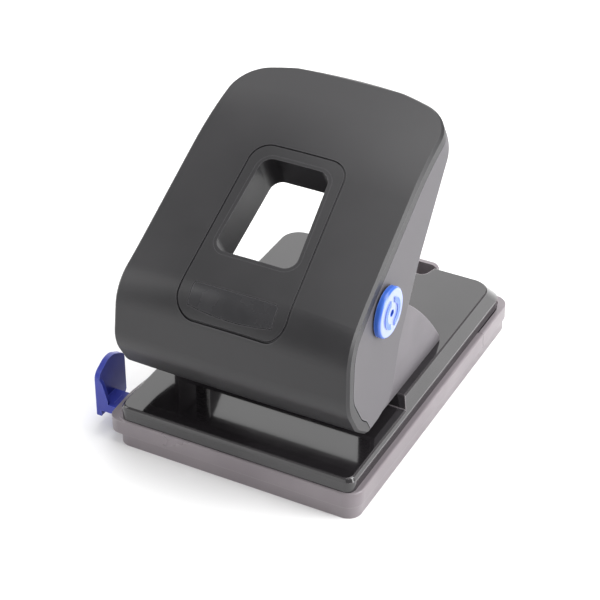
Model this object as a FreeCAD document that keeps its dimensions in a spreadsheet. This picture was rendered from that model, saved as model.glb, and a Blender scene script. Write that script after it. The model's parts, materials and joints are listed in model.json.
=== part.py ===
"""Two-hole desk punch with a lever handle, chip tray and sliding paper guide.

Frame: X across the punch, Y towards the back, Z up. The origin is at the centre of the
footprint on the underside. Lengths are millimetres and angles are degrees.
"""
import FreeCAD, Part
import math
import os
import Sketcher

from FreeCAD import Placement, Rotation, Vector

DOC = FreeCAD.newDocument("HolePunch")
SHEET = DOC.addObject("Spreadsheet::Sheet", "Sizes")
PARTS = []
LEAST_CHANGE = 0.01

SIZES = {
    # chip tray: a lower band, a wider upper band and a rebate for the base plate
    "tray_width": 116, "tray_depth": 162, "tray_height": 13.6, "tray_wall": 1.8,
    "tray_step": 6.2, "band_inset": 0.9, "tray_corner": 7, "tray_edge": 0.7, "tray_inner": 54.4,
    "tray_split": 130, "seam_gap": 0.3, "seam_high": 8, "seam_low": 3.6, "seam_jog": 3,
    "seam_foot": 2.8, "tab_width": 44, "tab_top": 22.6, "tab_thick": 2.2,
    "cheek_out": 60.9, "cheek_back": 50, "cheek_round": 5.5, "cheek_start": 50, "cheek_bulge": 0.6,
    "cheek_mid": 20, "cheek_bend": 45, "cheek_root": 9,
    # pressed base plate
    "plate_half": 55.4, "plate_thick": 1.5, "plate_skirt": 12.8, "plate_shoulder": 18.6,
    "plate_front": 0.9, "plate_back": 158.8, "deck_half": 52.4, "deck_back": 152.6,
    "throat_floor": 20.6, "deck": 25.4, "step_front": 54.2, "step_back": 57.6, "plate_corner": 9,
    "plate_nose": 4, "plate_edge": 0.8, "front_slope": 1.5, "notch_width": 50, "notch_deep": 7.5,
    "notch_turn": 4, "notch_lip": 4, "side_lean": 0.65, "step_lean": 0.51, "seat": 0.02,
    # holes, dies and pins
    "hole_spacing": 80, "pin_radius": 3, "pin_arm": 10.7, "pin_rest": 0.4, "pin_head": 4,
    "pin_top": 82.25, "head_thick": 3, "die_radius": 5, "die_depth": 5.2, "fit": 0.08,
    "spring_radius": 3.6, "spring_wire": 0.35, "spring_turns": 5,
    # bracket
    "bracket_width": 97.2, "bracket_thick": 1.9, "bracket_front": 36, "bracket_back": 101.5,
    "bracket_crest": 57, "bracket_crest_level": 73, "bracket_bulge": 81,
    "bracket_bulge_level": 52, "shoulder_drop": 26, "waist_drop": 14, "shoulder_round": 14,
    "waist_round": 12, "lobe_round": 8, "bracket_rise": 30, "window_margin": 7, "window_turn": 4,
    "axle_lobe": 9.5, "floor_window": 50, "guide_level": 57,
    "guide_thick": 1.8, "guide_reach": 13, "guide_lip": 9, "rivet_spacing": 60, "rivet_near": 66,
    "rivet_far": 93, "rivet_radius": 2, "rivet_head": 3.6, "rivet_rise": 1.5,
    # axles and lock knob
    "axle_radius": 4, "axle_end": 52, "axle_stop": 49.3, "cap_gap": 0.7, "cap_radius": 6,
    "cap_thick": 1.5, "knob_inner": 52.75, "knob_radius": 11, "knob_thick": 2.85, "knob_round": 1.4,
    "knob_dimple": 1.6, "dimple_depth": 1.2, "knob_band": 4.6, "band_width": 2.4,
    "knob_mark": 0.5, "knob_break": 1.6, "stem_gap": 0.4,
    # handle outline, in the tilted frame of the pivot
    "pivot_back": 34.5, "pivot_level": 83, "handle_tilt": 30.5, "handle_face": 22,
    "handle_reach": 93.4, "tip_front": 90.5, "tip_level": 13.6, "tip_rear": 9.4,
    "face_bend": 58, "bend_round": 130, "bend_slope": 0.2585, "cavity_reach": 78, "handle_wall": 2,
    "handle_bow": 8, "tip_lean": 0.4, "brow_lean": 0.55, "crown_lean": 0.1, "hood_lean": 1.09,
    "handle_low_width": 111, "handle_mid_width": 104.6, "handle_top_width": 98.6,
    "handle_low": -60, "handle_mid": -12, "handle_sweep": 300, "handle_corner": 17,
    "crown_half": 56, "crown_fall": 4.8, "brow_reach": -28.8, "brow_round": 20,
    "roll_reach": -45.3, "roll_top": -5, "roll_round": 18, "roll_low": -22, "lip_reach": -40.2,
    "lip_level": -34.5, "lip_inner": -37.5, "lip_round": 7, "sole_reach": -30.5,
    "sole_level": -40.8, "sole_round": 9, "toe_reach": -18.5, "toe_level": -46.2, "toe_round": 6,
    "heel_reach": -10.2, "heel_level": -41.5, "heel_round": 7, "hock_reach": 4.3,
    "hock_level": -29.2, "hood_bend": 32, "hood_round": 18, "cavity_lip": -31, "cavity_low": -60,
    "core_reach": 130, "core_lip": -28, "core_low": -70, "plan_low": -60, "plan_rise": 120,
    "plan_side": 90, "plan_reach": 130, "cover_edge": 5.2, "parting": 0.5, "bead": 1.1,
    "hood_start": 48, "hood_level": -15.5, "hood_slope": 0.407, "lining_end": 3,
    # press lever
    "press_arm": 11, "press_lead": 19, "press_radius": 4, "lever_width": 92.8,
    "lever_inner": 66.8, "lever_thick": 2, "lever_top": 13, "lever_eye": 9, "eye_round": 8.9,
    "lever_throat": 17, "lever_knee": 26, "knee_level": 2, "lever_reach": 58, "lever_end": 7,
    "lever_back": 8, "lever_round": 6, "lever_clear": 20, "roller_pin": 2, "roller_play": 0.1,
    # window, name plate and panel line
    "window_low": -5.2, "window_high": 43.5, "window_low_width": 40.5, "window_high_width": 34,
    "window_corner": 7, "bezel_wall": 1.6, "badge_low": -28.5, "badge_high": -19,
    "badge_sag": 1.8, "badge_width": 38.5, "badge_thick": 1.2, "badge_gap": 0.2,
    "panel_low": -33.5, "panel_high": 48.5, "panel_low_width": 51, "panel_high_width": 43.5,
    "panel_corner": 9, "panel_line": 0.8, "panel_depth": 0.6,
    # paper guide
    "bar_front": 7.8, "bar_back": 19.8, "bar_low": 8.2, "bar_high": 12.2, "bar_out": 71.5,
    "bar_in": 20, "bar_play": 0.3, "flange_reach": 6, "stop_thick": 2.4, "stop_back": 28.5,
    "stop_low": 5.2, "stop_top": 31, "web_thick": 1.8, "channel_left": 48, "channel_right": 30,
    "channel_wall": 1.6, "stop_nose": 4, "stop_crown": 1, "stop_fall": 5, "stop_turn": 5,
    "crown_turn": 9, "foot_turn": 2, "web_low": 2, "web_turn": 1.5, "web_high": 8, "web_root": 6,
}


def fill_sheet():
    for row, (alias, value) in enumerate(SIZES.items(), start=1):
        SHEET.set(f"A{row}", alias)
        SHEET.set(f"B{row}", str(value))
        SHEET.setAlias(f"B{row}", alias)
    DOC.recompute()


def formula(text):
    """Write each size name in a formula as a reference to its spreadsheet cell."""
    words = []
    word = ""
    for mark in str(text) + " ":
        if mark.isalnum() or mark in "_.":
            word += mark
            continue
        words.append(f"Sizes.{word}" if word in SIZES else word)
        words.append(mark)
        word = ""
    return "".join(words).strip()


def value(text):
    number = SHEET.evalExpression(formula(text))
    return float(getattr(number, "Value", number))


def bind(item, prop, text):
    item.setExpression(prop, formula(text))


def body(name, local=False):
    """A named body, placed on the footprint or, for handle pieces, on the tilted pivot."""
    item = DOC.addObject("PartDesign::Body", name)
    item.Label = name
    place(item, local)
    PARTS.append(item)
    return item


def place(item, local=False):
    if local:
        bind(item, "Placement.Base.y", "pivot_back - tray_depth / 2")
        bind(item, "Placement.Base.z", "pivot_level")
        turn = Rotation(Vector(1, 0, 0), SIZES["handle_tilt"])
        item.Placement = Placement(item.Placement.Base, turn)
        bind(item, "Placement.Rotation.Angle", "handle_tilt")
    else:
        bind(item, "Placement.Base.y", "-tray_depth / 2")


def plane(item, role):
    return next(part for part in item.Origin.OriginFeatures if part.Role == role)


def sketch(item, role, level=0):
    """An empty sketch on one of the body's own planes, raised by level along its normal."""
    drawing = item.newObject("Sketcher::SketchObject", item.Name + "Sketch")
    drawing.AttachmentSupport = (plane(item, role), [""])
    drawing.MapMode = "FlatFace"
    bind(drawing, "AttachmentOffset.Base.z", str(level))
    return drawing


def pin_down(drawing, point, where):
    """Tie a construction point to two formulas."""
    for kind, text in zip(("DistanceX", "DistanceY"), where):
        number = drawing.addConstraint(Sketcher.Constraint(kind, point, 1, value(text)))
        bind(drawing, f"Constraints[{number}]", text)


def bend_through(begin, middle, finish):
    """An anticlockwise arc through three points, and whether it starts at the first one."""
    guide = Part.Circle(begin, middle, finish)
    forward = (middle - begin).cross(finish - middle).z > 0
    first, last = (begin, finish) if forward else (finish, begin)
    centre = guide.Center
    angles = [math.atan2(spot.y - centre.y, spot.x - centre.x) for spot in (first, last)]
    if angles[1] < angles[0]:
        angles[1] += 2 * math.pi
    ring = Part.Circle(centre, Vector(0, 0, 1), guide.Radius)
    return Part.ArcOfCircle(ring, angles[0], angles[1]), forward


def outline(drawing, corners):
    """Closed outline through corners (x, y), each with an optional radius.

    A corner given as ("via", x, y) makes the side between its neighbours an arc through it.
    """
    spots = [corner for corner in corners if corner[0] != "via"]
    places = [Vector(value(c[0]), value(c[1]), 0) for c in spots]
    rounds = [value(c[2]) if len(c) > 2 else 0 for c in spots]
    vias = {}
    for index, corner in enumerate(corners):
        if corner[0] == "via":
            before = sum(1 for c in corners[:index] if c[0] != "via") - 1
            vias[before] = corner[1:]
    count = len(spots)
    starts, ends = [], []
    for i in range(count):
        here, back, ahead = places[i], places[i - 1], places[(i + 1) % count]
        cut = 0
        if rounds[i]:
            turn = (back - here).getAngle(ahead - here)
            cut = rounds[i] / math.tan(turn / 2)
        starts.append(here + (ahead - here).normalize() * cut if rounds[i] else here)
        ends.append(here + (back - here).normalize() * cut if rounds[i] else here)
    marks = []
    for i in range(count):
        mark = drawing.addGeometry(Part.Point(places[i]), True)
        pin_down(drawing, mark, spots[i][:2])
        marks.append(mark)
    sides = []
    for i in range(count):
        after = (i + 1) % count
        if i in vias:
            middle = Vector(value(vias[i][0]), value(vias[i][1]), 0)
            curve, forward = bend_through(starts[i], middle, ends[after])
            side = drawing.addGeometry(curve, False)
            mark = drawing.addGeometry(Part.Point(middle), True)
            pin_down(drawing, mark, vias[i])
            drawing.addConstraint(Sketcher.Constraint("PointOnObject", mark, 1, side))
        else:
            side = drawing.addGeometry(Part.LineSegment(starts[i], ends[after]), False)
            forward = True
        sides.append((side, 1 if forward else 2, 2 if forward else 1))
    for i in range(count):
        side, head, tail = sides[i - 1][0], sides[i - 1][2], sides[i]
        if not rounds[i]:
            drawing.addConstraint(Sketcher.Constraint("Coincident", side, head, *tail[:2]))
            drawing.addConstraint(Sketcher.Constraint("Coincident", side, head, marks[i], 1))
            continue
        around = (ends[i], places[i], starts[i])
        round_corner(drawing, around, (side, head), tail, marks[i], spots[i][2])


def round_corner(drawing, around, before, after, mark, radius_text):
    """Join two sides with a tangent arc whose radius is bound to the sheet."""
    begin, here, finish = around
    toward = (begin - here) + (finish - here)
    radius = value(radius_text)
    reach = math.sqrt(radius ** 2 + begin.distanceToPoint(here) ** 2)
    centre = here + toward.normalize() * reach
    middle = centre + (here - centre).normalize() * radius
    curve, forward = bend_through(begin, middle, finish)
    bend = drawing.addGeometry(curve, False)
    first = 1 if forward else 2
    drawing.addConstraint(Sketcher.Constraint("Tangent", before[0], before[1], bend, first))
    drawing.addConstraint(Sketcher.Constraint("Tangent", after[0], after[1], bend, 3 - first))
    drawing.addConstraint(Sketcher.Constraint("PointOnObject", mark, 1, before[0]))
    drawing.addConstraint(Sketcher.Constraint("PointOnObject", mark, 1, after[0]))
    number = drawing.addConstraint(Sketcher.Constraint("Radius", bend, radius))
    bind(drawing, f"Constraints[{number}]", radius_text)


def circle(drawing, across, along, radius):
    centre = Vector(value(across), value(along), 0)
    ring = drawing.addGeometry(Part.Circle(centre, Vector(0, 0, 1), value(radius)), False)
    for kind, text in (("DistanceX", across), ("DistanceY", along)):
        number = drawing.addConstraint(Sketcher.Constraint(kind, ring, 3, value(text)))
        bind(drawing, f"Constraints[{number}]", text)
    number = drawing.addConstraint(Sketcher.Constraint("Radius", ring, value(radius)))
    bind(drawing, f"Constraints[{number}]", radius)


def rectangle(drawing, left, right, low, high, corner=None):
    turn = () if corner is None else (corner,)
    spots = ((left, low), (right, low), (right, high), (left, high))
    outline(drawing, [spot + turn for spot in spots])


def extrude(item, drawing, kind, length, middle=False, flip=False):
    """Pad or pocket a sketch; a pocket must remove material."""
    DOC.recompute()
    before = item.Shape.Volume if item.Tip else 0
    step = item.newObject("PartDesign::" + kind, item.Name + kind)
    step.Profile = drawing
    bind(step, "Length", str(length))
    step.Midplane = middle
    step.Reversed = flip
    drawing.Visibility = False
    DOC.recompute()
    change = step.Shape.Volume - before
    if (change if kind == "Pad" else -change) < LEAST_CHANGE:
        raise RuntimeError(f"{item.Name}: {kind} changes nothing")
    return step


def loft(item, drawings):
    """Join a row of outlines into one solid."""
    DOC.recompute()
    step = item.newObject("PartDesign::AdditiveLoft", item.Name + "Loft")
    step.Profile = drawings[0]
    step.Sections = drawings[1:]
    for drawing in drawings:
        drawing.Visibility = False
    DOC.recompute()


def soften(item, radius, spots):
    """Round the edges nearest to the given points of the body's frame."""
    base = item.Tip
    names = []
    for spot in spots:
        target = Vector(*[value(text) for text in spot])
        edges = base.Shape.Edges
        near = min(range(len(edges)), key=lambda k: edges[k].distToShape(Part.Vertex(target))[0])
        names.append(f"Edge{near + 1}")
    step = item.newObject("PartDesign::Fillet", item.Name + "Fillet")
    step.Base = (base, names)
    bind(step, "Radius", radius)
    DOC.recompute()


def helper(name, local=True):
    """A construction body that is not a sub-part itself."""
    item = DOC.addObject("PartDesign::Body", name)
    place(item, local)
    return item


def join(kind, name, base, tool, keep=False):
    """A boolean of two shapes; kept ones are sub-parts."""
    item = DOC.addObject("Part::" + kind, name)
    item.Base = base
    item.Tool = tool
    item.Label = name
    DOC.recompute()
    if item.Shape.Volume < 1:
        raise RuntimeError(f"{name}: nothing left")
    if keep:
        PARTS.append(item)
    return item


# ---------------------------------------------------------------- chip tray and its drawer

def tray_shell(item, play):
    """The open tray: a lower band, a wider upper band and a rebate under the base plate."""
    half = "tray_width / 2"
    drawing = sketch(item, "XY_Plane")
    rectangle(drawing, f"band_inset - {half}", f"{half} - band_inset", "band_inset",
              "tray_depth - band_inset", "tray_corner - band_inset")
    extrude(item, drawing, "Pad", "tray_step")
    drawing = sketch(item, "XY_Plane", "tray_step")
    rectangle(drawing, "-" + half, half, "0", "tray_depth", "tray_corner")
    extrude(item, drawing, "Pad", "tray_height - tray_step")
    soften(item, "tray_edge", [("0", "0", "tray_height")])
    drawing = sketch(item, "XY_Plane", "tray_height")
    rectangle(drawing, "-tray_inner", "tray_inner", "band_inset + tray_wall",
              "tray_depth - band_inset - tray_wall", "tray_corner - 2")
    extrude(item, drawing, "Pocket", "tray_height - tray_wall")
    drawing = sketch(item, "XY_Plane", "tray_height")
    plate_outline(drawing, play)
    extrude(item, drawing, "Pocket", f"tray_height - plate_skirt + {play}")


def plate_outline(drawing, play):
    """The base plate's outline seen from above, grown by some play."""
    side, front, back = f"plate_half + {play}", f"plate_front - {play}", f"plate_back + {play}"
    nose, corner = f"plate_nose + {play}", f"plate_corner + {play}"
    outline(drawing, [(f"-({side})", front, nose), (side, front, nose), (side, back, corner),
                      (f"-({side})", back, corner)])


def seam(item, keep_front):
    """Cut the shell along the stepped seam, leaving the fixed front or the drawer."""
    gap = "0" if keep_front else "seam_gap"
    split = f"tray_split + {gap}"
    edge = [(split, "tray_height + 1"), (split, "seam_high"),
            (f"{split} + seam_jog", "seam_low"), (f"{split} + seam_jog", "seam_foot"),
            (f"{split} - seam_jog / 2", "seam_foot"), (f"{split} - seam_jog / 2", "-1")]
    far = "tray_depth + 5" if keep_front else "-5"
    drawing = sketch(item, "YZ_Plane")
    outline(drawing, edge + [(far, "-1"), (far, "tray_height + 1")])
    extrude(item, drawing, "Pocket", "tray_width + 10", middle=True)


def make_tray():
    """The fixed front of the tray, with a swelling on its left side where the guide comes out."""
    tray = body("chip_tray")
    tray_shell(tray, "seat")
    seam(tray, True)
    drawing = sketch(tray, "XY_Plane", "tray_step")
    side = "seat + plate_half + 0.1"
    bulge = "-cheek_out - cheek_bulge"
    outline(drawing, [("-cheek_start", "seat"), ("-cheek_out", "seat", "cheek_round"),
                      (bulge, "cheek_mid", "cheek_bend"), ("-tray_width / 2 + 0.1", "cheek_back"),
                      (f"-({side})", "cheek_back"), (f"-({side})", "cheek_root"),
                      ("-55.47", "4.5"), ("-55", "2.2"), ("-53", "0.86"), ("-cheek_start", "0.8")])
    extrude(tray, drawing, "Pad", "tray_height - tray_step - tray_edge")
    drawing = sketch(tray, "YZ_Plane")
    rectangle(drawing, "bar_front - bar_play", "bar_back + bar_play",
              "bar_low - bar_play", "bar_high + bar_play")
    extrude(tray, drawing, "Pocket", "tray_width")


def make_drawer():
    """The rear end of the tray, with the finger tab that stands behind the base plate."""
    drawer = body("tray_drawer")
    tray_shell(drawer, "seam_gap")
    seam(drawer, False)
    drawing = sketch(drawer, "XY_Plane", "tray_wall / 2")
    rectangle(drawing, "-tab_width / 2", "tab_width / 2", "tray_depth - tab_thick - band_inset",
              "tray_depth - band_inset")
    extrude(drawer, drawing, "Pad", "tab_top - tray_wall / 2")
    for side in (-1, 1):
        soften(drawer, "tab_thick * 1.5", [(f"{side} * tab_width / 2",
                                            "tray_depth - band_inset - tab_thick / 2", "tab_top")])


# ---------------------------------------------------------------- base plate and dies

def hole_row():
    return [f"{side} * hole_spacing / 2" for side in (-1, 1)]


def rivet_spots():
    rows = ("rivet_near", "rivet_far")
    return [(f"{side} * rivet_spacing / 2", row) for side in (-1, 1) for row in rows]


def plate_block(name, inset):
    """The pressed plate's outer form, drawn in by an inset."""
    item = helper(name, False)
    drawing = sketch(item, "XY_Plane", f"plate_skirt - {inset}")
    plate_outline(drawing, f"(0 - {inset})")
    shoulder = f"plate_shoulder - 0.2 * {inset}"
    extrude(item, drawing, "Pad", f"plate_shoulder - plate_skirt + 0.8 * {inset}")
    lower = sketch(item, "XY_Plane", shoulder)
    plate_outline(lower, f"(0 - {inset})")
    upper = sketch(item, "XY_Plane", f"deck - {inset}")
    side, back = f"deck_half - side_lean * {inset}", f"deck_back - side_lean * {inset}"
    front = f"plate_front + front_slope + side_lean * {inset}"
    nose, corner = f"plate_nose - {inset}", f"plate_corner - {inset}"
    outline(upper, [(f"-({side})", front, nose), (side, front, nose), (side, back, corner),
                    (f"-({side})", back, corner)])
    loft(item, [lower, upper])
    drawing = sketch(item, "YZ_Plane")
    low, high = f"step_front + step_lean * {inset}", f"step_back + step_lean * {inset}"
    outline(drawing, [("-5", f"throat_floor - {inset}"), (low, f"throat_floor - {inset}"),
                      (high, f"deck - {inset}"), (high, "deck + 5"), ("-5", "deck + 5")])
    extrude(item, drawing, "Pocket", "tray_width + 10", middle=True)
    return item


def plate_openings():
    """The die and rivet holes, and the notch behind the deck for the drawer's tab."""
    item = helper("plate_openings", False)
    drawing = sketch(item, "XY_Plane", "plate_skirt")
    for across in hole_row():
        circle(drawing, across, "pivot_back + pin_arm", "die_radius + fit / 2")
    for across, along in rivet_spots():
        circle(drawing, across, along, "rivet_radius + fit / 2")
    slant = "notch_width / 2 - notch_deep / 2"
    inner = "deck_back - notch_deep"
    edge = "plate_back + 1"
    outline(drawing, [("-notch_width / 2", edge), (f"-({slant})", inner, "notch_turn"),
                      (slant, inner, "notch_turn"), ("notch_width / 2", edge)])
    extrude(item, drawing, "Pad", "deck - plate_skirt + 1")
    drawing = sketch(item, "XY_Plane", "plate_skirt - 1")
    rectangle(drawing, "-notch_width / 2", "notch_width / 2", "plate_back - notch_lip", edge)
    extrude(item, drawing, "Pad", "3")
    return item


def make_base_plate():
    """Pressed steel cover: a low throat floor in front and a raised deck behind it."""
    outer = plate_block("plate_form", "0")
    soften(outer, "plate_edge", [("0", "plate_front + front_slope * 0.3", "throat_floor"),
                                 ("0", "step_back", "deck"), ("0", "deck_back", "deck")])
    shell = join("Cut", "plate_shell", outer, plate_block("plate_hollow", "plate_thick"))
    join("Cut", "base_plate", shell, plate_openings(), keep=True)


def make_dies():
    """Hardened rings set flush in the throat floor, one under each pin."""
    for name, across in zip(("die_left", "die_right"), hole_row()):
        ring = body(name)
        drawing = sketch(ring, "XY_Plane", "throat_floor - die_depth")
        circle(drawing, across, "pivot_back + pin_arm", "die_radius")
        circle(drawing, across, "pivot_back + pin_arm", "pin_radius + fit")
        extrude(ring, drawing, "Pad", "die_depth")


# ---------------------------------------------------------------- bracket

def make_bracket():
    """One bent sheet: a floor riveted to the deck and two side plates that carry the axle."""
    bracket = body("punch_bracket")
    lobe = "axle_lobe"
    drawing = sketch(bracket, "YZ_Plane")
    outline(drawing, [("bracket_front", "deck"),
                      ("bracket_front", "pivot_level - shoulder_drop", "shoulder_round"),
                      (f"pivot_back - {lobe}", "pivot_level - waist_drop", "waist_round"),
                      (f"pivot_back - {lobe}", f"pivot_level + {lobe}", f"{lobe} - 0.1"),
                      (f"pivot_back + {lobe}", f"pivot_level + {lobe}", "lobe_round"),
                      ("bracket_crest", "bracket_crest_level"),
                      ("via", "bracket_bulge", "bracket_bulge_level"),
                      ("bracket_back", "deck + bracket_thick"), ("bracket_back", "deck")])
    extrude(bracket, drawing, "Pad", "bracket_width", middle=True)
    drawing = sketch(bracket, "YZ_Plane")
    rectangle(drawing, "bracket_front - bracket_rise", "bracket_back + 5",
              "deck + bracket_thick", "pivot_level + bracket_rise")
    extrude(bracket, drawing, "Pocket", "bracket_width - 2 * bracket_thick", middle=True)
    drawing = sketch(bracket, "YZ_Plane")
    circle(drawing, "pivot_back", "pivot_level", "axle_radius + fit / 2")
    extrude(bracket, drawing, "Pocket", "bracket_width + 10", middle=True)
    drawing = sketch(bracket, "XY_Plane", "deck + bracket_thick + 1")
    for across in hole_row():
        circle(drawing, across, "pivot_back + pin_arm", "pin_radius + fit")
    for across, along in rivet_spots():
        circle(drawing, across, along, "rivet_radius + fit / 2")
    extrude(bracket, drawing, "Pocket", "bracket_thick + 1")
    drawing = sketch(bracket, "XY_Plane", "deck + bracket_thick + 1")
    rectangle(drawing, "-floor_window / 2", "floor_window / 2",
              "rivet_near + window_margin", "rivet_far - window_margin", "window_turn")
    extrude(bracket, drawing, "Pocket", "bracket_thick + 1")


def make_pin_guide():
    """The upper plate that keeps both pins upright, bent down into two fixing lips."""
    guide = body("pin_guide")
    drawing = sketch(guide, "XZ_Plane", "-pivot_back - pin_arm - guide_reach / 2")
    inner = "bracket_width / 2 - bracket_thick"
    outline(drawing, [(f"-({inner})", "guide_level - guide_lip"), (f"-({inner})", "guide_level"),
                      (inner, "guide_level"), (inner, "guide_level - guide_lip"),
                      (f"{inner} - guide_thick", "guide_level - guide_lip"),
                      (f"{inner} - guide_thick", "guide_level - guide_thick"),
                      (f"guide_thick - ({inner})", "guide_level - guide_thick"),
                      (f"guide_thick - ({inner})", "guide_level - guide_lip")])
    extrude(guide, drawing, "Pad", "guide_reach")
    drawing = sketch(guide, "XY_Plane", "guide_level + 1")
    for across in hole_row():
        circle(drawing, across, "pivot_back + pin_arm", "pin_radius + fit")
    extrude(guide, drawing, "Pocket", "guide_thick + 2")


def make_rivets():
    names = ("rivet_front_left", "rivet_rear_left", "rivet_front_right", "rivet_rear_right")
    for name, (across, along) in zip(names, rivet_spots()):
        rivet = body(name)
        drawing = sketch(rivet, "XY_Plane", "deck - plate_thick")
        circle(drawing, across, along, "rivet_radius")
        extrude(rivet, drawing, "Pad", "plate_thick + bracket_thick")
        drawing = sketch(rivet, "XY_Plane", "deck + bracket_thick")
        circle(drawing, across, along, "rivet_head")
        extrude(rivet, drawing, "Pad", "rivet_rise")
        top = "deck + bracket_thick + rivet_rise"
        soften(rivet, "rivet_rise * 0.7", [(across, f"{along} + rivet_head", top)])


# ---------------------------------------------------------------- pins, springs and axle

def make_pins():
    """Cutting pins with a hollow-ground tip and a flat head under the press bar."""
    for name, across in zip(("punch_pin_left", "punch_pin_right"), hole_row()):
        pin = body(name)
        drawing = sketch(pin, "XY_Plane", "deck + pin_rest")
        circle(drawing, across, "pivot_back + pin_arm", "pin_radius")
        extrude(pin, drawing, "Pad", "pin_top - deck - pin_rest")
        drawing = sketch(pin, "XY_Plane", "pin_top - head_thick")
        circle(drawing, across, "pivot_back + pin_arm", "pin_head")
        extrude(pin, drawing, "Pad", "head_thick")
        drawing = sketch(pin, "YZ_Plane")
        circle(drawing, "pivot_back + pin_arm", "deck + pin_rest - pin_radius * 0.8", "pin_radius * 1.25")
        extrude(pin, drawing, "Pocket", "2 * hole_spacing", middle=True)


def make_springs():
    """Return springs between the pin guide and the pin heads."""
    for name, across in zip(("return_spring_left", "return_spring_right"), hole_row()):
        coil = DOC.addObject("Part::Helix", name + "_path")
        height = "pin_top - head_thick - guide_level - 2 * spring_wire - 0.1"
        bind(coil, "Height", height)
        bind(coil, "Pitch", f"({height}) / spring_turns")
        bind(coil, "Radius", "spring_radius")
        wire = DOC.addObject("Part::RegularPolygon", name + "_section")
        wire.Polygon = 10
        bind(wire, "Circumradius", "spring_wire")
        bind(wire, "Placement.Base.x", "spring_radius")
        wire.Placement = Placement(wire.Placement.Base, Rotation(Vector(1, 0, 0), 90))
        spring = DOC.addObject("Part::Sweep", name)
        spring.Sections = [wire]
        spring.Spine = (coil, ["Edge1"])
        spring.Solid = True
        spring.Frenet = True
        spring.Label = name
        bind(spring, "Placement.Base.x", across)
        bind(spring, "Placement.Base.y", "pivot_back + pin_arm - tray_depth / 2")
        bind(spring, "Placement.Base.z", "guide_level + spring_wire + 0.05")
        PARTS.append(spring)


def make_axles():
    """Two short axles fixed in the bracket; the left one reaches out to a cap."""
    ends = (("pivot_axle_left", -1, "axle_end"), ("pivot_axle_right", 1, "axle_stop"))
    for name, side, end in ends:
        axle = body(name)
        drawing = sketch(axle, "YZ_Plane", f"{side} * {end}")
        circle(drawing, "pivot_back", "pivot_level", "axle_radius")
        extrude(axle, drawing, "Pad", f"{end} - lever_inner / 2", flip=side > 0)


# ---------------------------------------------------------------- handle, in its own tilted frame

def front_curve(inset, fall):
    """The brow and rolled front, drawn in by an inset and, off the middle, by the crown."""
    roll = f"roll_reach + {inset} + crown_lean * {fall}"
    brow = (f"brow_reach + brow_lean * {inset}", f"handle_face - {inset} - {fall}")
    return [brow + (f"brow_round - {inset}",), (roll, "roll_top", f"roll_round - {inset}"),
            (roll, "roll_low", f"roll_round - {inset}")]


def face_line(inset, fall, reach, level):
    """The far end of the face, which bends back towards the tip."""
    return [(reach, f"{level} - {inset} - {fall}"),
            ("face_bend", f"handle_face - {inset} - {fall}", "bend_round")]


def handle_side(inset, fall):
    """The handle seen from the side: X of the sketch runs up the handle, Y out of its face."""
    return front_curve(inset, fall) + [
        ("lip_reach", f"lip_level + {inset}", "lip_round"),
        ("sole_reach", f"sole_level + {inset}", "sole_round"),
        ("toe_reach", f"toe_level + {inset}", "toe_round"),
        (f"heel_reach - {inset} / 2", "heel_level", "heel_round"),
        (f"hock_reach - {inset}", f"hock_level + {inset} / 2"),
        ("hood_bend", f"hood_level + {inset}", "hood_round"),
        (f"handle_reach - {inset}", f"tip_rear + {inset} * tip_lean - {fall}")
    ] + face_line(inset, fall, f"tip_front - {inset}", "tip_level")


def crowned(item, corners, inset):
    """Loft a side profile across the handle, so that its face falls away towards both sides."""
    drawings = []
    for share in (-1, -0.5, 0, 0.5, 1):
        drawing = sketch(item, "YZ_Plane", f"{share} * crown_half")
        outline(drawing, corners(inset, f"{share * share} * crown_fall"))
        drawings.append(drawing)
    loft(item, drawings)


def handle_plan(item, inset):
    """Everything outside the handle's face-on outline, cut away."""
    low, mid, top = [f"handle_{where}_width / 2 - {inset}" for where in ("low", "mid", "top")]
    drawing = sketch(item, "XY_Plane", "plan_low")
    rectangle(drawing, "-plan_side", "plan_side", "-plan_side", "plan_reach")
    corner = f"handle_corner - {inset}"
    shoulder = f"handle_reach - handle_bow - {inset}"
    outline(drawing, [(f"-({low})", "handle_low"), (low, "handle_low"),
                      (mid, "handle_mid", "handle_sweep"), (top, shoulder, corner),
                      ("via", "0", f"handle_reach - {inset}"), (f"-({top})", shoulder, corner),
                      (f"-({mid})", "handle_mid", "handle_sweep")])
    extrude(item, drawing, "Pocket", "plan_rise", flip=True)


def handle_block(name, inset):
    """The handle's outer form, drawn in by an inset."""
    item = helper(name)
    crowned(item, handle_side, inset)
    handle_plan(item, inset)
    return item


RIM = {"side": 30, "far": 85, "front": -31, "level": 5, "slope": 0.15}


def break_edge(item):
    """A narrow flat round the rim of the face, down both sides of the rolled front."""
    base = item.Tip
    names = []
    for number, edge in enumerate(base.Shape.Edges, start=1):
        middle = edge.valueAt((edge.FirstParameter + edge.LastParameter) / 2)
        outside = abs(middle.x) > RIM["side"] or middle.y > RIM["far"]
        forward = middle.y < RIM["front"] or middle.z > RIM["level"] + RIM["slope"] * middle.y
        if outside and forward:
            names.append(f"Edge{number}")
    step = item.newObject("PartDesign::Chamfer", item.Name + "Rim")
    step.Base = (base, names)
    bind(step, "Size", "bead")
    DOC.recompute()


def cavity_side(inset, fall):
    """The hollow seen from the side, open below between the rolled lip and the hood."""
    hood = f"hood_level + (hood_start - hood_bend) * hood_slope + {inset} * hood_lean"
    end = f"hood_level + (cavity_reach - hood_bend) * hood_slope + {inset} * hood_lean"
    roof = "handle_face - (cavity_reach - face_bend) * bend_slope"
    return front_curve(inset, fall) + [
        ("lip_inner", f"cavity_lip + {inset}"), ("lip_inner", "cavity_low"),
        ("hood_start", "cavity_low"),
        ("hood_start", hood), ("cavity_reach", end)] + face_line(inset, fall, "cavity_reach", roof)


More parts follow.
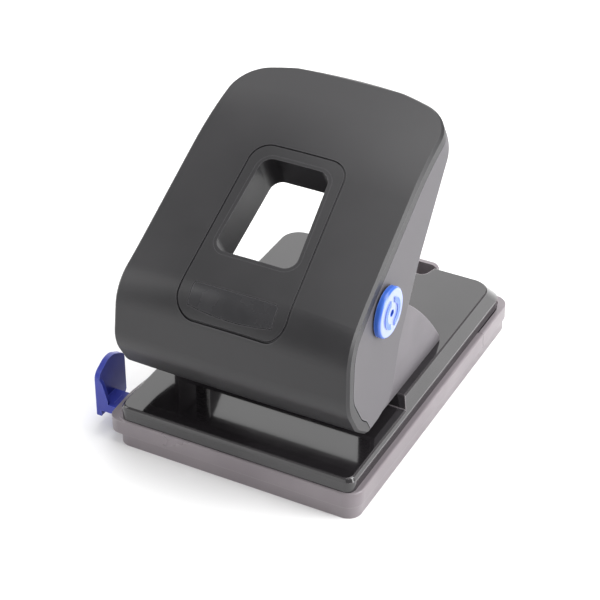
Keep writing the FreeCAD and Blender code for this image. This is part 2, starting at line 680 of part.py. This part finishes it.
def handle_cavity():
    """The hollow inside the shell, open towards the mechanism below and behind."""
    item = helper("cavity")
    crowned(item, cavity_side, "handle_wall")
    handle_plan(item, "handle_wall")
    return item


def core_side(inset, fall):
    """The side profile of all that lies behind the front cover."""
    lip = f"lip_inner + {inset} - cover_edge"
    roof = "handle_face - (core_reach - face_bend) * bend_slope"
    back = [(lip, "core_lip"), (lip, "core_low"), ("core_reach", "core_low")]
    return front_curve(inset, fall) + back + face_line(inset, fall, "core_reach", roof)


def handle_core(name, inset):
    """Everything behind the front cover's edge."""
    item = helper(name)
    crowned(item, core_side, inset)
    return item


def prism(name, corners, hole=None, start="plan_low"):
    """A face-on outline carried out through the handle's face, with an optional hole."""
    item = helper(name)
    drawing = sketch(item, "XY_Plane", start)
    outline(drawing, corners)
    if hole:
        outline(drawing, hole)
    extrude(item, drawing, "Pad", "plan_rise")
    return item


def window_corners(inset):
    low, high = [f"window_{end}_width / 2 - {inset}" for end in ("low", "high")]
    turn = f"window_corner - {inset}"
    return [(f"-({low})", f"window_low + {inset}", turn), (low, f"window_low + {inset}", turn),
            (high, f"window_high - {inset}", turn), (f"-({high})", f"window_high - {inset}", turn)]


def panel_corners(inset):
    low, high = [f"panel_{end}_width / 2 - {inset}" for end in ("low", "high")]
    turn = f"panel_corner - {inset}"
    return [(f"-({low})", f"panel_low + {inset}", turn), (low, f"panel_low + {inset}", turn),
            (high, f"panel_high - {inset}", turn), (f"-({high})", f"panel_high - {inset}", turn)]


def badge_corners(inset):
    half = f"badge_width / 2 - {inset}"
    return [(f"-({half})", f"badge_low + {inset}"), ("via", "0", f"badge_low - badge_sag + {inset}"),
            (half, f"badge_low + {inset}"), (half, f"badge_high - {inset}", "1.5"),
            (f"-({half})", f"badge_high - {inset}", "1.5")]


def make_handle_shell():
    """Front cover, rear shell, window lining and blank name plate."""
    outer = handle_block("outer_form", "0")
    break_edge(outer)
    shell = join("Cut", "handle_shell", outer, handle_cavity())
    window = prism("window_prism", window_corners("0"))
    shell = join("Cut", "handle_windowed", shell, window)
    cover = join("Cut", "cover_blank", shell, handle_core("cover_core", "cover_edge"))
    badge_floor = handle_block("badge_floor", "badge_thick")
    badge_prism = prism("badge_prism", badge_corners("0"), start="0")
    badge_bed = join("Cut", "badge_bed", badge_prism, badge_floor)
    cover = join("Cut", "cover_bedded", cover, badge_bed)
    line = prism("panel_prism", panel_corners("0"), panel_corners("panel_line"), "0")
    line = join("Cut", "panel_line_tool", line, handle_block("line_floor", "panel_depth"))
    join("Cut", "handle_cover", cover, line, keep=True)
    rear = join("Common", "rear_blank", shell, handle_core("rear_core", "(cover_edge + parting)"))
    join("Cut", "handle_body", rear, axle_bore(), keep=True)
    lining = prism("lining_prism", window_corners("0.05"), window_corners("bezel_wall"), "lining_end")
    join("Common", "window_bezel", outer, lining, keep=True)
    cutter = prism("badge_cutter", badge_corners("badge_gap"), start="0")
    plate = join("Common", "badge_blank", outer, cutter)
    back = handle_block("badge_back", "(badge_thick - badge_gap)")
    join("Cut", "name_badge", plate, back, keep=True)


def axle_bore():
    """The bore through both cheeks of the handle."""
    item = helper("axle_bore")
    drawing = sketch(item, "YZ_Plane")
    circle(drawing, "0", "0", "axle_radius + fit")
    extrude(item, drawing, "Pad", "handle_low_width + 10", middle=True)
    return item


PRESS_SPOT = ("press_arm * cos((press_lead - handle_tilt) * 1 deg)",
              "press_arm * sin((press_lead - handle_tilt) * 1 deg)")


def make_lever():
    """Steel stirrup inside the handle: a pair of arms on each axle, joined past the window."""
    lever = body("handle_lever", local=True)
    drawing = sketch(lever, "YZ_Plane")
    outline(drawing, [("-lever_eye", "-lever_eye", "eye_round"),
                      ("lever_throat", "-lever_eye", "lever_round"),
                      ("lever_knee", "knee_level", "lever_round"), ("lever_reach", "lever_end"),
                      ("lever_reach", "lever_top"), ("0", "lever_top", "lever_round"),
                      ("-lever_eye", "lever_back", "lever_round")])
    extrude(lever, drawing, "Pad", "lever_width", middle=True)
    slot = "(lever_width - lever_inner) / 2 - 2 * lever_thick"
    clear = ("-lever_clear", "lever_reach + 12", "-lever_clear", "lever_top - lever_thick")
    for level in ("lever_inner / 2 + lever_thick", f"-lever_inner / 2 - lever_thick - ({slot})"):
        drawing = sketch(lever, "YZ_Plane", level)
        rectangle(drawing, *clear)
        extrude(lever, drawing, "Pocket", slot, flip=True)
    drawing = sketch(lever, "YZ_Plane")
    rectangle(drawing, *clear)
    extrude(lever, drawing, "Pocket", "lever_inner", middle=True)
    drawing = sketch(lever, "XY_Plane", "lever_clear")
    rectangle(drawing, "-lever_inner / 2", "lever_inner / 2", "-lever_clear", "hood_start")
    extrude(lever, drawing, "Pocket", "1.5 * lever_clear")
    drawing = sketch(lever, "YZ_Plane")
    circle(drawing, "0", "0", "axle_radius + fit")
    circle(drawing, PRESS_SPOT[0], PRESS_SPOT[1], "roller_pin + 0.02")
    extrude(lever, drawing, "Pocket", "lever_width + 10", middle=True)


def make_rollers():
    """The round press pieces between each pair of arms, one over each pin head."""
    for name, side in (("press_roller_left", -1), ("press_roller_right", 1)):
        roller = body(name, local=True)
        start = "lever_inner / 2 + lever_thick + roller_play"
        drawing = sketch(roller, "YZ_Plane", f"{side} * ({start})")
        circle(drawing, PRESS_SPOT[0], PRESS_SPOT[1], "press_radius")
        length = "(lever_width - lever_inner) / 2 - 2 * (lever_thick + roller_play)"
        extrude(roller, drawing, "Pad", length, flip=side < 0)
        drawing = sketch(roller, "YZ_Plane", f"{side} * lever_inner / 2")
        circle(drawing, PRESS_SPOT[0], PRESS_SPOT[1], "roller_pin")
        extrude(roller, drawing, "Pad", "(lever_width - lever_inner) / 2", flip=side < 0)


def make_knob():
    """Lock knob on the right cheek: a rounded disc with a dimple and two curved marks."""
    knob = body("lock_knob")
    face = "knob_inner + knob_thick"
    drawing = sketch(knob, "YZ_Plane", "knob_inner")
    circle(drawing, "pivot_back", "pivot_level", "knob_radius")
    extrude(knob, drawing, "Pad", "knob_thick")
    soften(knob, "knob_round", [(face, "pivot_back", "pivot_level + knob_radius")])
    drawing = sketch(knob, "YZ_Plane", "knob_inner")
    circle(drawing, "pivot_back", "pivot_level", "axle_radius")
    extrude(knob, drawing, "Pad", "knob_inner - axle_stop - stem_gap", flip=True)
    drawing = sketch(knob, "YZ_Plane", face)
    circle(drawing, "pivot_back", "pivot_level", "knob_dimple")
    extrude(knob, drawing, "Pocket", "dimple_depth")
    mark = sketch(knob, "YZ_Plane", face)
    circle(mark, "pivot_back", "pivot_level", "knob_band")
    circle(mark, "pivot_back", "pivot_level", "knob_band + band_width")
    extrude(knob, mark, "Pad", "knob_mark")
    gap = sketch(knob, "YZ_Plane", f"{face} + knob_mark")
    rectangle(gap, "pivot_back - knob_break", "pivot_back + knob_break",
              "pivot_level - knob_radius", "pivot_level + knob_radius")
    extrude(knob, gap, "Pocket", "knob_mark")


def make_axle_cap():
    """The domed cap over the left axle's end."""
    cap = body("axle_cap")
    end = "-axle_end - cap_gap"
    drawing = sketch(cap, "YZ_Plane", end)
    circle(drawing, "pivot_back", "pivot_level", "cap_radius")
    extrude(cap, drawing, "Pad", "cap_thick", flip=True)
    rim = (f"{end} - cap_thick", "pivot_back", "pivot_level + cap_radius")
    soften(cap, "cap_thick * 0.4", [rim])
    drawing = sketch(cap, "YZ_Plane", end)
    circle(drawing, "pivot_back", "pivot_level", "axle_radius")
    extrude(cap, drawing, "Pad", "cap_gap - seat")


# ---------------------------------------------------------------- paper guide

def make_paper_guide():
    """A flat bar that slides out to the left, ending in an upright paper stop."""
    guide = body("paper_guide")
    drawing = sketch(guide, "XY_Plane", "bar_low")
    rectangle(drawing, "-bar_out", "bar_in", "bar_front", "bar_back")
    extrude(guide, drawing, "Pad", "bar_high - bar_low")
    drawing = sketch(guide, "YZ_Plane", "-bar_out")
    outline(drawing, [("bar_front", "stop_low"), ("bar_front", "stop_top - stop_nose", "stop_turn"),
                      ("bar_back - 2", "stop_top + stop_crown", "crown_turn"),
                      ("stop_back", "stop_top - stop_fall", "stop_turn"),
                      ("stop_back", "stop_low", "foot_turn")])
    extrude(guide, drawing, "Pad", "stop_thick")
    drawing = sketch(guide, "XZ_Plane", "-bar_front - web_thick")
    root, reach = "stop_thick - bar_out", "flange_reach - bar_out"
    outline(drawing, [(f"{root} - 1", "bar_high - 1"), (reach, "bar_high - 1"),
                      (reach, "bar_high + web_low", "web_turn"),
                      (f"{root} + 1", "stop_top - web_high", "foot_turn"),
                      (f"{root} - 1", "stop_top - web_root")])
    extrude(guide, drawing, "Pad", "web_thick")


def make_guide_channel():
    """The sleeve under the throat floor in which the guide bar slides."""
    channel = body("guide_channel")
    drawing = sketch(channel, "YZ_Plane", "-channel_left")
    play = "bar_play"
    rectangle(drawing, f"bar_front - {play} - channel_wall", f"bar_back + {play} + channel_wall",
              f"bar_low - {play} - channel_wall", "throat_floor - plate_thick - 0.05")
    rectangle(drawing, f"bar_front - {play}", f"bar_back + {play}",
              f"bar_low - {play}", f"bar_high + {play}")
    extrude(channel, drawing, "Pad", "channel_left + channel_right")


def main():
    fill_sheet()
    make_tray()
    make_drawer()
    make_base_plate()
    make_dies()
    make_bracket()
    make_pin_guide()
    make_rivets()
    make_pins()
    make_springs()
    make_axles()
    make_axle_cap()
    make_handle_shell()
    make_lever()
    make_rollers()
    make_knob()
    make_paper_guide()
    make_guide_channel()
    write_parts()


def write_parts():
    """Check every object, then write each sub-part to its own file."""
    DOC.recompute()
    for item in DOC.Objects:
        if "Invalid" in item.State or "Error" in item.State:
            raise RuntimeError(f"{item.Label} failed: {item.State}")
    os.makedirs("parts", exist_ok=True)
    for item in PARTS:
        if item.Shape.isNull() or not item.Shape.isValid():
            raise RuntimeError(f"{item.Label} has no valid shape")
        item.Shape.exportStep(f"parts/{item.Label}.step")
        print(f"{item.Label}: {item.Shape.Volume:.0f} mm3, {len(item.Shape.Solids)} solid")


main()
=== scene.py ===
import json
import math

import bpy
from mathutils import Matrix, Vector


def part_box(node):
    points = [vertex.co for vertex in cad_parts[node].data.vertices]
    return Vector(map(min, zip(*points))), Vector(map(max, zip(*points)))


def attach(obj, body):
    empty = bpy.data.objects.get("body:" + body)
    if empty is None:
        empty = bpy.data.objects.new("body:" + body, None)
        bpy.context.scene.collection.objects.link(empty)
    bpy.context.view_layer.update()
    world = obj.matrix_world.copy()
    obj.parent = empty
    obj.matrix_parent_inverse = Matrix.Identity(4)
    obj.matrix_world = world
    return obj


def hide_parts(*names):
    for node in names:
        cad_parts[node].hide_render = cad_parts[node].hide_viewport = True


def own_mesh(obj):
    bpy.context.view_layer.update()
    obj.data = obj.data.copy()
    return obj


# Desk hole punch: black windowed lever handle on a pressed base with a smoky chip tray.
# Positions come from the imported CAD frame, in metres.

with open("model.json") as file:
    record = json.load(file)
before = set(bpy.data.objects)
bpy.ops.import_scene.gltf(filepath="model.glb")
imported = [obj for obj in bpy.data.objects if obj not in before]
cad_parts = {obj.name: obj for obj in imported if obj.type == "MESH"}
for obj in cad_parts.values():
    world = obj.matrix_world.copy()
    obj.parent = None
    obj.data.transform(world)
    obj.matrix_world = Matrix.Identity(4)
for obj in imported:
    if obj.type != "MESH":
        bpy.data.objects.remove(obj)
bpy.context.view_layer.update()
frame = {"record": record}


# shader helpers

def newMaterial(name):
    material = bpy.data.materials.new(name)
    material.use_nodes = True
    nodes = material.node_tree.nodes
    shader = nodes["Principled BSDF"]
    place = nodes.new("ShaderNodeTexCoord")
    return material, nodes, material.node_tree.links, shader, place


def noiseField(nodes, links, place, scale, detail=2.0, stretch=(1, 1, 1)):
    mapping = nodes.new("ShaderNodeMapping")
    mapping.inputs["Scale"].default_value = stretch
    links.new(place.outputs["Object"], mapping.inputs["Vector"])
    noise = nodes.new("ShaderNodeTexNoise")
    noise.inputs["Scale"].default_value = scale
    noise.inputs["Detail"].default_value = detail
    links.new(mapping.outputs["Vector"], noise.inputs["Vector"])
    return noise.outputs["Fac"]


def ramp(nodes, links, source, low, high, start=0.0, end=1.0):
    curve = nodes.new("ShaderNodeMapRange")
    span = {"From Min": start, "From Max": end, "To Min": low, "To Max": high}
    for socket, number in span.items():
        curve.inputs[socket].default_value = number
    links.new(source, curve.inputs["Value"])
    return curve.outputs["Result"]


def tint(nodes, links, factor, under, over):
    # under may be a colour or the result of an earlier tint
    mix = nodes.new("ShaderNodeMix")
    mix.data_type = "RGBA"
    slots = [socket for socket in mix.inputs if socket.type == "RGBA"]
    if isinstance(under, tuple):
        slots[0].default_value = (*under, 1)
    else:
        links.new(under, slots[0])
    slots[1].default_value = (*over, 1)
    links.new(factor, mix.inputs[0])
    return next(socket for socket in mix.outputs if socket.type == "RGBA")


cloudSpan = (0.3, 0.7)  # the part of a noise field that carries its contrast
edgeSpan = (0.86, 0.99)  # how far a surface turns before it counts as an edge


def paintedHighlightMask(nodes, links, radius, strength):
    # where the surface turns sharply, the colour is lightened as a painted highlight
    rounded = nodes.new("ShaderNodeBevel")
    rounded.samples = 4
    rounded.inputs["Radius"].default_value = radius
    flat = nodes.new("ShaderNodeNewGeometry")
    compare = nodes.new("ShaderNodeVectorMath")
    compare.operation = "DOT_PRODUCT"
    links.new(rounded.outputs["Normal"], compare.inputs[0])
    links.new(flat.outputs["Normal"], compare.inputs[1])
    return ramp(nodes, links, compare.outputs["Value"], strength, 0, *edgeSpan)


def bump(nodes, links, shader, source, strength, distance):
    relief = nodes.new("ShaderNodeBump")
    relief.inputs["Strength"].default_value = strength
    relief.inputs["Distance"].default_value = distance
    links.new(source, relief.inputs["Height"])
    links.new(relief.outputs["Normal"], shader.inputs["Normal"])


def finishMaterial(name, look):
    # the common recipe: cloudy colour and roughness, fine grain, and a painted highlight lightening the
    # edges
    material, nodes, links, shader, place = newMaterial(name)
    stretch = look.get("stretch", (1, 1, 1))
    cloud = noiseField(nodes, links, place, look["cloud"], 4, stretch)
    patches = ramp(nodes, links, cloud, 0, 1, *cloudSpan)
    colour = tint(nodes, links, patches, look["base"], look["shade"])
    edge = paintedHighlightMask(nodes, links, look["edge"], look["edgeHighlightStrength"])
    # the edges take the lighter colour as a painted highlight
    colour = tint(nodes, links, edge, colour, look["edgeHighlightColour"])
    links.new(colour, shader.inputs["Base Color"])
    roughness = ramp(nodes, links, cloud, *look["rough"], *cloudSpan)
    links.new(roughness, shader.inputs["Roughness"])
    grain = noiseField(nodes, links, place, look["grain"], 2, stretch)
    bump(nodes, links, shader, grain, look["relief"], look["depth"])
    for socket, number in look.get("constants", {}).items():
        shader.inputs[socket].default_value = number
    return material, nodes, links, shader, place, colour


# finishes

# each finish's lighter edge colour is a painted highlight laid along its edges
coverBlack = {"base": (0.0125, 0.012, 0.0135), "shade": (0.020, 0.019, 0.021), "edgeHighlightColour": (0.075, 0.072, 0.078),
              "cloud": 24, "edge": 0.0006, "edgeHighlightStrength": 0.55, "rough": (0.40, 0.50), "grain": 2400,
              "relief": 0.30, "depth": 0.00003}
# the handle body's black is painted lighter than the cover's black plastic: painted light standing in for
# the side lit from the right
cheekBlackPaintedLit = {"base": (0.075, 0.070, 0.077), "shade": (0.095, 0.089, 0.098), "edgeHighlightColour": (0.24, 0.23, 0.245),
              "cloud": 19, "edge": 0.0006, "edgeHighlightStrength": 0.5, "rough": (0.46, 0.56), "grain": 2200,
              "relief": 0.25, "depth": 0.00003}
plateBlack = {"base": (0.018, 0.018, 0.020), "shade": (0.030, 0.029, 0.032), "edgeHighlightColour": (0.16, 0.155, 0.165),
              "cloud": 60, "edge": 0.0004, "edgeHighlightStrength": 0.7, "rough": (0.22, 0.32), "grain": 1600,
              "relief": 0.15, "depth": 0.00002}
glossEnamel = {"base": (0.010, 0.009, 0.010), "shade": (0.019, 0.017, 0.019), "edgeHighlightColour": (0.44, 0.40, 0.42),
               "cloud": 34, "edge": 0.0009, "edgeHighlightStrength": 0.62, "rough": (0.07, 0.14), "grain": 330,
               "relief": 0.22, "depth": 0.00002, "constants": {"Coat Weight": 0.5, "Coat Roughness": 0.04}}
smokyPlastic = {"base": (0.285, 0.252, 0.270), "shade": (0.225, 0.196, 0.213), "edgeHighlightColour": (0.50, 0.455, 0.48),
                "cloud": 21, "edge": 0.0007, "edgeHighlightStrength": 0.45, "rough": (0.26, 0.38), "grain": 1400,
                "relief": 0.18, "depth": 0.00003, "constants": {"Transmission Weight": 0.22, "IOR": 1.49}}
guideBlue = {"base": (0.030, 0.045, 0.37), "shade": (0.022, 0.033, 0.29), "edgeHighlightColour": (0.12, 0.16, 0.62),
             "cloud": 70, "edge": 0.0006, "edgeHighlightStrength": 0.6, "rough": (0.28, 0.38), "grain": 1800,
             "relief": 0.18, "depth": 0.00003,
             "constants": {"Subsurface Weight": 0.04, "Subsurface Radius": (0.001, 0.001, 0.002)}}
knobBlue = {"base": (0.040, 0.140, 0.60), "shade": (0.030, 0.110, 0.50), "edgeHighlightColour": (0.34, 0.43, 0.86),
            "cloud": 90, "edge": 0.0006, "edgeHighlightStrength": 0.6, "rough": (0.16, 0.26), "grain": 1800,
            "relief": 0.12, "depth": 0.00002, "faceTint": (0.27, 0.33, 0.69),
            "faceDepth": 0.00045, "faceStart": (-0.00035, -0.00015), "faceEnd": (0.0001, 0.0003),
            "constants": {"Coat Weight": 0.3, "Coat Roughness": 0.08}}
zincSteel = {"base": (0.150, 0.139, 0.152), "shade": (0.125, 0.116, 0.127), "edgeHighlightColour": (0.38, 0.36, 0.385),
             "cloud": 28, "edge": 0.0005, "edgeHighlightStrength": 0.6, "rough": (0.42, 0.52), "grain": 900,
             "relief": 0.10, "depth": 0.00001, "constants": {"Metallic": 0.35}}
groundSteel = {"base": (0.60, 0.59, 0.59), "shade": (0.47, 0.46, 0.46), "edgeHighlightColour": (0.82, 0.81, 0.80),
               "cloud": 300, "edge": 0.0003, "edgeHighlightStrength": 0.5, "rough": (0.20, 0.32), "grain": 900,
               "relief": 0.15, "depth": 0.00001, "stretch": (1, 1, 9), "constants": {"Metallic": 1.0}}
springSteel = {"base": (0.42, 0.42, 0.43), "shade": (0.31, 0.31, 0.32), "edgeHighlightColour": (0.60, 0.60, 0.60),
               "cloud": 420, "edge": 0.0002, "edgeHighlightStrength": 0.3, "rough": (0.26, 0.36), "grain": 1200,
               "relief": 0.12, "depth": 0.00001, "constants": {"Metallic": 1.0}}


def makeKnobBlue():
    # the flat face is paler than the rim, the dimple and the raised marks
    look = knobBlue
    material, nodes, links, shader, place, colour = finishMaterial("knobBlue", look)
    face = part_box("lock_knob")[1][0] - look["faceDepth"]
    split = nodes.new("ShaderNodeSeparateXYZ")
    links.new(place.outputs["Object"], split.inputs["Vector"])
    near, far = [[face + step for step in look[end]] for end in ("faceStart", "faceEnd")]
    rise = ramp(nodes, links, split.outputs["X"], 0, 1, *near)
    fall = ramp(nodes, links, split.outputs["X"], 1, 0, *far)
    both = nodes.new("ShaderNodeMath")
    both.operation = "MULTIPLY"
    links.new(rise, both.inputs[0])
    links.new(fall, both.inputs[1])
    pale = tint(nodes, links, both.outputs["Value"], colour, look["faceTint"])
    links.new(pale, shader.inputs["Base Color"])
    return material


simpleLooks = {"coverBlack": coverBlack, "cheekBlackPaintedLit": cheekBlackPaintedLit, "plateBlack": plateBlack,
               "glossEnamel": glossEnamel, "smokyPlastic": smokyPlastic, "guideBlue": guideBlue,
               "zincSteel": zincSteel, "groundSteel": groundSteel, "springSteel": springSteel}
finishes = {name: finishMaterial(name, look)[0] for name, look in simpleLooks.items()}
finishes["knobBlue"] = makeKnobBlue()
print("materials made:", len(finishes))

slotFinish = {"smoke_plastic": "smokyPlastic", "black_enamel": "glossEnamel", "grey_steel": "zincSteel",
              "bright_steel": "groundSteel", "spring_steel": "springSteel", "black_plastic": "coverBlack",
              "black_gloss": "plateBlack", "blue_plastic": "guideBlue", "channel_plastic": "coverBlack"}
# the handle body takes the lighter black, as painted light on its lit side walls
nodeFinish = {"handle_body": "cheekBlackPaintedLit", "lock_knob": "knobBlue"}


def dressNodes():
    for item in frame["record"]["subparts"]:
        name = item["node"]
        finish = nodeFinish.get(name, slotFinish[item["material_slot"]])
        slots = bpy.data.objects[name].data.materials
        slots.clear()
        slots.append(finishes[finish])


dressNodes()
print("frame nodes dressed")


# node trees

def newTree(name, inputs):
    tree = bpy.data.node_groups.new(name, "GeometryNodeTree")
    face = tree.interface
    face.new_socket("Geometry", in_out="OUTPUT", socket_type="NodeSocketGeometry")
    sockets = {}
    for label, kind in {**inputs, "Finish": "Material"}.items():
        made = face.new_socket(label, in_out="INPUT", socket_type="NodeSocket" + kind)
        sockets[label] = made.identifier
    return tree, sockets, tree.nodes.new("NodeGroupInput")


def closeTree(tree, given, shape):
    # real geometry with its finish on it
    nodes, links = tree.nodes, tree.links
    result = nodes.new("NodeGroupOutput")
    real = nodes.new("GeometryNodeRealizeInstances")
    paint = nodes.new("GeometryNodeSetMaterial")
    links.new(shape, real.inputs["Geometry"])
    links.new(real.outputs["Geometry"], paint.inputs["Geometry"])
    links.new(given.outputs["Finish"], paint.inputs["Material"])
    links.new(paint.outputs["Geometry"], result.inputs["Geometry"])


def grow(name, kit, values, finish):
    # run a tree once and keep the result as a plain mesh
    tree, sockets = kit
    host = bpy.data.objects.new(name + "Host", bpy.data.meshes.new(name + "Host"))
    bpy.context.scene.collection.objects.link(host)
    maker = host.modifiers.new("grow", "NODES")
    maker.node_group = tree
    for label, given in {**values, "Finish": finishes[finish]}.items():
        maker[sockets[label]] = given
    solved = host.evaluated_get(bpy.context.evaluated_depsgraph_get())
    mesh = bpy.data.meshes.new_from_object(solved)
    mesh.name = name
    bpy.data.objects.remove(host)
    piece = bpy.data.objects.new(name, mesh)
    bpy.context.scene.collection.objects.link(piece)
    mesh.materials.clear()
    mesh.materials.append(finishes[finish])
    for face in mesh.polygons:
        face.material_index = 0
        face.use_smooth = True
    return piece


# ribs and graduations, each a row that follows one rule

def ribTree():
    # a straight row of soft-edged bars
    tree, sockets, given = newTree("ribRow", {"Count": "Int", "Start": "Vector", "Step": "Vector",
                                              "Size": "Vector", "Crease": "Float"})
    nodes, links = tree.nodes, tree.links
    row = nodes.new("GeometryNodeMeshLine")
    bar = nodes.new("GeometryNodeMeshCube")
    soft = nodes.new("GeometryNodeSubdivisionSurface")
    soft.inputs["Level"].default_value = 2
    spread = nodes.new("GeometryNodeInstanceOnPoints")
    links.new(given.outputs["Count"], row.inputs["Count"])
    links.new(given.outputs["Start"], row.inputs["Start Location"])
    links.new(given.outputs["Step"], row.inputs["Offset"])
    links.new(given.outputs["Size"], bar.inputs["Size"])
    links.new(bar.outputs["Mesh"], soft.inputs["Mesh"])
    links.new(given.outputs["Crease"], soft.inputs["Edge Crease"])
    links.new(row.outputs["Mesh"], spread.inputs["Points"])
    links.new(soft.outputs["Mesh"], spread.inputs["Instance"])
    closeTree(tree, given, spread.outputs["Instances"])
    return tree, sockets


def ribRow(name, look, start, bodyName):
    values = {"Count": look["count"], "Start": start, "Step": look["step"], "Size": look["size"],
              "Crease": look["crease"]}
    piece = grow(name, ribTrees, values, look["finish"])
    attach(piece, bodyName)


def halfSpan(look):
    return look["step"][0] * (look["count"] - 1) / 2


ribTrees = ribTree()

tabGrip = {"count": 9, "step": (0.0044, 0, 0), "size": (0.0011, 0.0009, 0.0055), "crease": 0.5,
           "finish": "smokyPlastic", "tabInset": 0.0009, "proud": 0.0003, "belowTop": 0.0048}
barScale = {"count": 15, "step": (0.005, 0, 0), "size": (0.0004, 0.0065, 0.0003), "crease": 0.7,
            "finish": "guideBlue", "fromStop": 0.0075, "along": -0.0672, "level": 0.0122}
trayWeb = {"count": 9, "step": (0.011, 0, 0), "size": (0.0012, 0.0011, 0.008), "crease": 0.6,
           "finish": "smokyPlastic", "fromBack": 0.0030, "level": 0.0055}


def makeTabGrip():
    # finger ribs on the back of the drawer's tab
    look = tabGrip
    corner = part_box("tray_drawer")[1]
    back = corner[1] - look["tabInset"] - look["size"][1] / 2 + look["proud"]
    start = (-halfSpan(look), back, corner[2] - look["belowTop"])
    ribRow("tabGrip", look, start, "tray_drawer")


def makeBarScale():
    # raised graduations on the top of the guide's bar
    look = barScale
    start = (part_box("paper_guide")[0][0] + look["fromStop"], look["along"], look["level"])
    ribRow("barScale", look, start, "paper_guide")


def makeTrayWeb():
    # stiffening webs inside the drawer's rear wall
    look = trayWeb
    start = (-halfSpan(look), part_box("tray_drawer")[1][1] - look["fromBack"], look["level"])
    ribRow("trayWeb", look, start, "tray_drawer")


makeTabGrip()
makeBarScale()
makeTrayWeb()
print("ribs and graduations made")


# return springs, grown as fixed coils in the place of the CAD springs

returnSpring = {"turns": 5.0, "wire": 0.00035, "steps": 32, "sides": 10, "finish": "springSteel"}


def springTree():
    # a wire swept along a coil
    tree, sockets, given = newTree("coilSpring", {"Turns": "Float", "Radius": "Float",
                                                  "Height": "Float", "Wire": "Float",
                                                  "Place": "Vector"})
    nodes, links = tree.nodes, tree.links
    coil = nodes.new("GeometryNodeCurveSpiral")
    coil.inputs["Resolution"].default_value = returnSpring["steps"]
    section = nodes.new("GeometryNodeCurvePrimitiveCircle")
    section.inputs["Resolution"].default_value = returnSpring["sides"]
    sweep = nodes.new("GeometryNodeCurveToMesh")
    sweep.inputs["Fill Caps"].default_value = True
    move = nodes.new("GeometryNodeTransform")
    links.new(given.outputs["Turns"], coil.inputs["Rotations"])
    links.new(given.outputs["Radius"], coil.inputs["Start Radius"])
    links.new(given.outputs["Radius"], coil.inputs["End Radius"])
    links.new(given.outputs["Height"], coil.inputs["Height"])
    links.new(given.outputs["Wire"], section.inputs["Radius"])
    links.new(coil.outputs["Curve"], sweep.inputs["Curve"])
    links.new(section.outputs["Curve"], sweep.inputs["Profile Curve"])
    links.new(sweep.outputs["Mesh"], move.inputs["Geometry"])
    links.new(given.outputs["Place"], move.inputs["Translation"])
    closeTree(tree, given, move.outputs["Geometry"])
    return tree, sockets


def makeSpring(side):
    look = returnSpring
    low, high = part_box("return_spring_" + side)
    across, along = (low[0] + high[0]) / 2, (low[1] + high[1]) / 2
    length = high[2] - low[2]
    values = {"Turns": look["turns"], "Radius": (high[0] - low[0]) / 2 - look["wire"],
              "Height": length - 2 * look["wire"], "Wire": look["wire"],
              "Place": (across, along, low[2] + look["wire"])}
    piece = grow("coil_" + side, springTrees, values, look["finish"])
    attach(piece, "base")
    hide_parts("return_spring_" + side)
    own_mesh(piece)


springTrees = springTree()
for side in ("left", "right"):
    makeSpring(side)
print("springs made")


# stage, lights and camera

studio = {"floorSize": 4.0, "floorShade": (0.95, 0.95, 0.95), "world": 0.5, "aim": (0, 0, 0.06)}
cameraView = {"azimuth": 27.52, "elevation": 34.32, "lens": 120.0, "place": (0.326, -0.645, 0.537)}
lamps = {"softTop": {"place": (0.15, 0.2, 1.1), "size": (0.8, 0.8), "power": 7},
         "leftFill": {"place": (-0.9, -0.5, 0.5), "size": (0.6, 0.9), "power": 5},
         "backGlow": {"place": (-0.46, 0.88, 0.67), "size": (1.2, 1.2), "power": 6},
         "rightFill": {"place": (0.9, 0.1, 0.5), "size": (0.6, 0.9), "power": 12}}


def makeFloor():
    half = studio["floorSize"] / 2
    corners = [(-half, -half, 0), (half, -half, 0), (half, half, 0), (-half, half, 0)]
    mesh = bpy.data.meshes.new("floor")
    mesh.from_pydata(corners, [], [(0, 1, 2, 3)])
    floor = bpy.data.objects.new("floor", mesh)
    bpy.context.scene.collection.objects.link(floor)
    material, _, _, shader, _ = newMaterial("paleFloor")
    shader.inputs["Base Color"].default_value = (*studio["floorShade"], 1)
    shader.inputs["Roughness"].default_value = 0.8
    mesh.materials.append(material)


def makeLights():
    world = bpy.data.worlds.new("studioWorld")
    world.use_nodes = True
    sky = world.node_tree.nodes["Background"]
    sky.inputs["Color"].default_value = (1, 1, 1, 1)
    sky.inputs["Strength"].default_value = studio["world"]
    bpy.context.scene.world = world
    bpy.context.scene.view_settings.view_transform = "Standard"
    for name, look in lamps.items():
        data = bpy.data.lights.new(name, "AREA")
        data.shape = "RECTANGLE"
        data.size, data.size_y = look["size"]
        data.energy = look["power"]
        lamp = bpy.data.objects.new(name, data)
        lamp.location = look["place"]
        aim = Vector(studio["aim"]) - Vector(look["place"])
        lamp.rotation_euler = aim.to_track_quat("-Z", "Y").to_euler()
        bpy.context.scene.collection.objects.link(lamp)


def makeCamera():
    view = cameraView
    turn, tilt = math.radians(view["azimuth"]), math.radians(view["elevation"])
    right = Vector((math.cos(turn), math.sin(turn), 0))
    ahead = Vector((-math.sin(turn) * math.cos(tilt), math.cos(turn) * math.cos(tilt),
                    -math.sin(tilt)))
    up = right.cross(ahead)
    data = bpy.data.cameras.new("studioCamera")
    data.lens = view["lens"]
    data.sensor_width = 36
    data.clip_start = 0.01
    camera = bpy.data.objects.new("studioCamera", data)
    spin = Matrix((right, up, -ahead)).transposed().to_4x4()
    camera.matrix_world = Matrix.Translation(view["place"]) @ spin
    bpy.context.scene.collection.objects.link(camera)
    bpy.context.scene.camera = camera


makeFloor()
makeLights()
makeCamera()
print("stage, lights and camera set")
